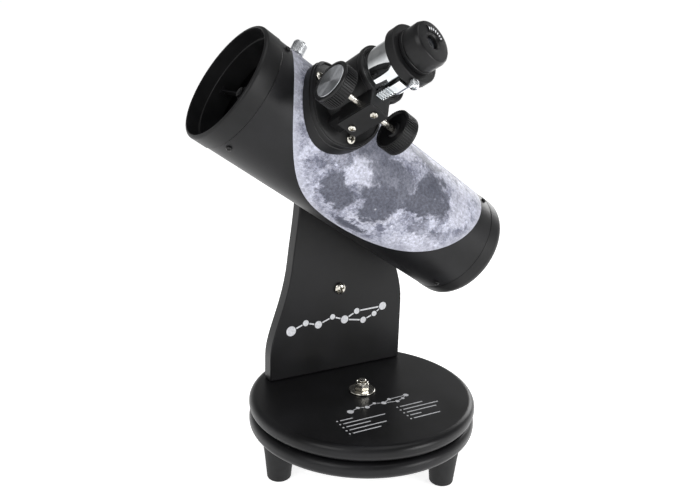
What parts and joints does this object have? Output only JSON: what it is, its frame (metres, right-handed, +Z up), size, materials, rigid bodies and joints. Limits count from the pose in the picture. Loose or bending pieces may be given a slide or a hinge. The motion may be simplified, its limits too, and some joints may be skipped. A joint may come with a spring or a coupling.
{
  "type": "tabletop reflector telescope",
  "caption": "Short reflector telescope tube with a side focuser, tilting on a single arm over a round two-board turntable with feet.",
  "frame": {"origin": "middle of the model's footprint box, on the surface that the feet stand on", "axes": "+Z up; -Y is the side that the tube's open end points to; -X is the arm's side, +X the focuser's side"},
  "size_m": [0.2474, 0.2972, 0.4191],
  "materials": {
    "laminated_board": "black satin laminate on board, edges rounded and lacquered",
    "nickel_fastener": "bright nickel plate",
    "foot_rubber": "matte moulded black rubber",
    "nylon_glide": "smooth off-white nylon",
    "tube_enamel": "satin black enamel on rolled steel with a printed grey lunar disc",
    "blackened_steel": "blackened steel",
    "mirror_glass": "front-silvered glass",
    "turned_aluminium": "spun and knurled bare aluminium",
    "bright_steel": "ground bright steel",
    "chrome_plate": "polished chrome plate",
    "lens_glass": "coated optical glass",
    "moulded_black_plastic": "moulded black plastic with a fine satin grain"
  },
  "bodies": {
    "base": {"base_board": "laminated_board", "foot_1": "foot_rubber", "foot_2": "foot_rubber", "foot_3": "foot_rubber", "foot_screw_1": "nickel_fastener", "foot_screw_2": "nickel_fastener", "foot_screw_3": "nickel_fastener", "glide_ring": "nylon_glide", "azimuth_bolt": "nickel_fastener", "azimuth_washer": "nickel_fastener", "azimuth_lock_nut": "nickel_fastener"},
    "turntable": {"turntable_board": "laminated_board", "side_arm": "laminated_board", "arm_screw_1": "nickel_fastener", "arm_screw_2": "nickel_fastener", "arm_bolt": "nickel_fastener", "arm_bolt_nut": "nickel_fastener", "altitude_pad": "nylon_glide"},
    "altitude_knob": {"altitude_washer": "nickel_fastener", "altitude_knob": "moulded_black_plastic"},
    "tube": {"tube_shell": "tube_enamel", "front_ring": "moulded_black_plastic", "rear_cell": "moulded_black_plastic", "primary_mirror": "mirror_glass", "mirror_ring": "moulded_black_plastic", "spider": "blackened_steel", "diagonal_holder": "moulded_black_plastic", "diagonal_mirror": "mirror_glass", "vane_screw_1": "blackened_steel", "vane_screw_2": "blackened_steel", "vane_screw_3": "blackened_steel", "cell_screw_1": "blackened_steel", "cell_screw_2": "blackened_steel", "cell_screw_3": "blackened_steel", "saddle": "moulded_black_plastic", "saddle_screw_1": "nickel_fastener", "saddle_screw_2": "nickel_fastener", "finder_stud_1": "nickel_fastener", "finder_stud_2": "nickel_fastener", "focuser_body": "moulded_black_plastic", "focuser_screw_1": "nickel_fastener", "focuser_screw_2": "nickel_fastener", "focuser_screw_3": "nickel_fastener", "pinion_cover": "moulded_black_plastic", "cover_screw_1": "nickel_fastener", "cover_screw_2": "nickel_fastener"},
    "finder_nut_1": {"finder_nut_1": "turned_aluminium"},
    "finder_nut_2": {"finder_nut_2": "turned_aluminium"},
    "focus_knobs": {"pinion_shaft": "bright_steel", "focus_knob_front": "moulded_black_plastic", "focus_knob_rear": "moulded_black_plastic", "knob_inlay_front": "turned_aluminium", "knob_inlay_rear": "turned_aluminium"},
    "drawtube": {"drawtube": "chrome_plate", "rack": "chrome_plate", "eyepiece_collar": "moulded_black_plastic"},
    "eyepiece_screw": {"eyepiece_screw": "chrome_plate"},
    "eyepiece": {"eyepiece_body": "moulded_black_plastic", "eyepiece_barrel": "chrome_plate", "eye_lens": "lens_glass"}
  },
  "joints": [
    {"name": "azimuth_turn", "type": "hinge", "parent": "base", "child": "turntable", "pos_m": [-0.01365, 0.01891, 0.07], "axis": [0, 0, 1], "continuous": true},
    {"name": "altitude_tilt", "type": "hinge", "parent": "turntable", "child": "tube", "pos_m": [-0.00766, 0.01892, 0.276], "axis": [-1, 0, 0], "range_deg": [-33.9, 56.1]},
    {"name": "altitude_clamp", "type": "hinge", "parent": "turntable", "child": "altitude_knob", "pos_m": [-0.09366, 0.01892, 0.276], "axis": [-1, 0, 0], "range_deg": [0, 270]},
    {"name": "focus_turn", "type": "hinge", "parent": "tube", "child": "focus_knobs", "pos_m": [0.08242, -0.04157, 0.35489], "axis": [0, -0.83, 0.5577], "range_deg": [-170, 260]},
    {"name": "focus_slide", "type": "slide", "parent": "tube", "child": "drawtube", "axis": [0.7957, 0.3378, 0.5027], "range_m": [-0.0206, 0.0134]},
    {"name": "eyepiece_screw_turn", "type": "hinge", "parent": "drawtube", "child": "eyepiece_screw", "pos_m": [0.11269, -0.02168, 0.37776], "axis": [0.5983, -0.3085, -0.7395], "range_deg": [0, 360]},
    {"name": "eyepiece_lift", "type": "slide", "parent": "drawtube", "child": "eyepiece", "axis": [0.7957, 0.3378, 0.5027], "range_m": [0, 0.04]},
    {"name": "finder_nut_turn_1", "type": "hinge", "parent": "tube", "child": "finder_nut_1", "pos_m": [-0.0191, -0.05116, 0.39405], "axis": [-0.1908, 0.5475, 0.8148], "range_deg": [0, 360]},
    {"name": "finder_nut_turn_2", "type": "hinge", "parent": "tube", "child": "finder_nut_2", "pos_m": [-0.05081, -0.06076, 0.37976], "axis": [-0.7193, 0.3874, 0.5766], "range_deg": [0, 360]}
  ],
  "couplings": [
    {"joint": "focus_turn", "follows": "focus_slide", "rad_per_m": -219.78}
  ]
}
